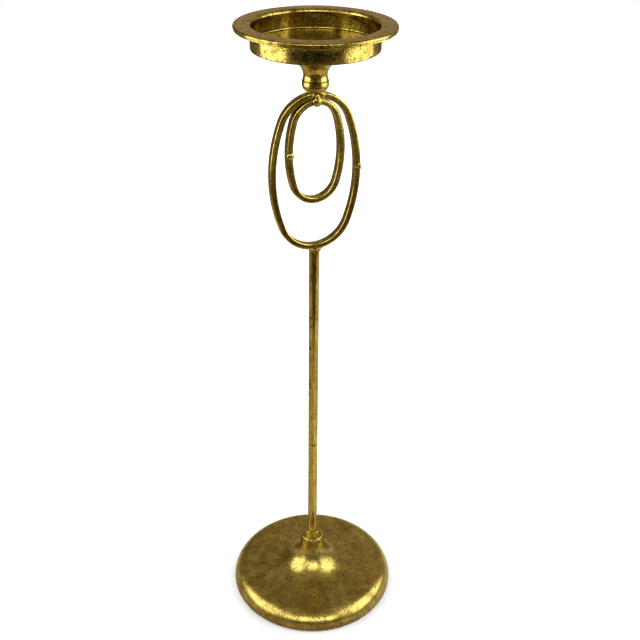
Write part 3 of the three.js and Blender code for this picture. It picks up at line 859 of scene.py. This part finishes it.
# Studio
# A white floor and background, a soft light at each side and a wide one above the camera.
# Cards, cloths and a cream tent, seen only in reflections, give the metal its dark and pale bands.
side_light_height = 0.875
side_light_distance = 0.85
side_light_watts = 13.5  # per square metre
front_light_watts = 15
surround_glow = 0.55
surround_colour = "ffeacc"
tent_radius = 2.9
tent_height = 2.8
shadow_middle = 0.03  # in front of the stem
shadow_core = 0.07
shadow_reach = 0.2
room_light = 0.5


def at_bearing(bearing, distance, height):
    """A place round the candlestick: bearing 0 is the camera's side, counted towards its right."""
    turn = bearing - camera_bearing
    return Vector((math.sin(turn) * distance, -math.cos(turn) * distance, height))


def soft_light(name, place, size, watts, target):
    """An evenly lit panel, so many watts per square metre, that the camera doesn't see."""
    bpy.ops.object.light_add(type="AREA", location=place)
    light = bpy.context.object
    light.name = name
    light.data.shape = "RECTANGLE"
    light.data.size, light.data.size_y = size
    light.data.energy = watts * size[0] * size[1]
    light.rotation_euler = (target - place).to_track_quat("-Z", "Y").to_euler()
    light.visible_camera = False


def background_rays(material):
    """1 for the rays that see the background: straight, reflected or through glass. 0 for light."""
    rays = add_node(material, "ShaderNodeLightPath").outputs
    seen = add_node(material, "ShaderNodeMath", {0: rays["Is Camera Ray"], 1: rays["Is Glossy Ray"]},
                    operation="ADD")
    return add_node(material, "ShaderNodeMath", {0: seen.outputs[0], 1: rays["Is Transmission Ray"]},
                    operation="ADD").outputs[0]


def plain_paint(name, colour, glow=0.0, glow_colour="ffffff"):
    """A matt paint that may shine evenly by itself."""
    paint, shader, _ = new_material(name)
    shader.inputs["Base Color"].default_value = linear(colour)
    shader.inputs["Roughness"].default_value = 1
    shader.inputs["Specular IOR Level"].default_value = 0
    shader.inputs["Emission Color"].default_value = linear(glow_colour)
    shader.inputs["Emission Strength"].default_value = glow
    return paint, shader


def put_in_studio(name, paint):
    """Names the new stage piece and hides it from all but reflections."""
    piece = bpy.context.object
    piece.name = name
    piece.data.materials.append(paint)
    piece.visible_camera = False
    piece.visible_diffuse = False
    piece.visible_shadow = False
    return piece


def put_panel(name, paint, bearing, distance, height, size, standing=False):
    """A flat panel that lies square to the camera, or stands and faces the candlestick."""
    tilt, turn = (math.pi / 2, bearing) if standing else (0, 0)
    bpy.ops.mesh.primitive_plane_add(size=1, location=at_bearing(bearing, distance, height),
                                     rotation=(tilt, 0, turn - camera_bearing))
    put_in_studio(name, paint).scale = (*size, 1)


side_light_target = Vector((0, 0, side_light_height))
soft_light("left light", at_bearing(math.radians(-78), side_light_distance, side_light_height),
           (0.9, 1.2), side_light_watts, side_light_target)
soft_light("right light", at_bearing(math.radians(85), side_light_distance, side_light_height),
           (1.0, 1.2), side_light_watts, side_light_target)
soft_light("front light", at_bearing(0, 1.9, 1.85), (2.7, 1.1), front_light_watts, Vector((0, 0, 0)))

black_card = plain_paint("black card", "1c1a18")[0]
dim_card = plain_paint("dim card", "000000", glow=0.27, glow_colour=surround_colour)[0]
brown_cloth = plain_paint("brown cloth", "5c4c38")[0]
cream_sheet = plain_paint("cream sheet", "bcac92")[0]
bright_sheet = plain_paint("bright sheet", "bcb49c", glow=0.35)[0]
drab_cloth = plain_paint("drab cloth", "a89878")[0]
cream_tent = plain_paint("cream tent", "000000", glow=surround_glow, glow_colour=surround_colour)[0]

put_panel("standing_card", black_card, 0, 1.0, 0.36, (1.9, 0.24), standing=True)
put_panel("front_cloth", brown_cloth, 0, 0.8, 2 * mm, (2.0, 0.6))
bpy.ops.mesh.primitive_circle_add(vertices=64, radius=0.95, fill_type="NGON",
                                  location=at_bearing(math.pi / 2, 0.1, mm))
put_in_studio("near_sheet", cream_sheet)
put_panel("right_sheet", bright_sheet, math.radians(121), 1.17, 2 * mm, (1.9, 2.0))
put_panel("left_sheet", bright_sheet, math.radians(-95), 1.6, 2 * mm, (0.9, 1.6))
bpy.ops.mesh.primitive_circle_add(vertices=64, radius=tent_radius, fill_type="NGON",
                                  location=(0, 0, mm / 2))
put_in_studio("lying_cloth", drab_cloth)
put_panel("ceiling_card", dim_card, math.pi, 1.65, 2.6, (0.9, 1.0))
put_panel("left_flag", dim_card, math.radians(-140), 2.0, 1.1, (1.6, 2.2), standing=True)
put_panel("dark_backdrop", black_card, 0, 2.4, 0.95, (2.2, 1.0), standing=True)
bpy.ops.mesh.primitive_cylinder_add(vertices=64, radius=tent_radius, depth=tent_height,
                                    location=(0, 0, 1.3))
put_in_studio("tent", cream_tent)

bpy.ops.mesh.primitive_circle_add(vertices=96, radius=3, fill_type="NGON", location=(0, 0, 0))
floor = bpy.context.object
floor.name = "floor"
paper, paper_shader = plain_paint("white paper", "c8c8c8")
spread = add_node(paper, "ShaderNodeVectorMath",
                  {0: add_node(paper, "ShaderNodeTexCoord").outputs["Object"],
                   1: at_bearing(0, shadow_middle, 0)}, operation="DISTANCE")
far = add_node(paper, "ShaderNodeMapRange",
               {"Value": spread.outputs["Value"], "From Min": shadow_core, "From Max": shadow_reach})
glow = add_node(paper, "ShaderNodeMath", {0: background_rays(paper), 1: far.outputs["Result"]},
                operation="MULTIPLY")
paper.node_tree.links.new(glow.outputs[0], paper_shader.inputs["Emission Strength"])
floor.data.materials.append(paper)

world = bpy.data.worlds.new("white studio")
bpy.context.scene.world = world
world.use_nodes = True
background = world.node_tree.nodes["Background"]
background.inputs["Color"].default_value = (1, 1, 1, 1)
strength = add_node(world, "ShaderNodeMapRange",
                    {"Value": background_rays(world), "To Min": room_light, "To Max": 1})
world.node_tree.links.new(strength.outputs["Result"], background.inputs["Strength"])

bpy.context.scene.view_settings.view_transform = "Standard"
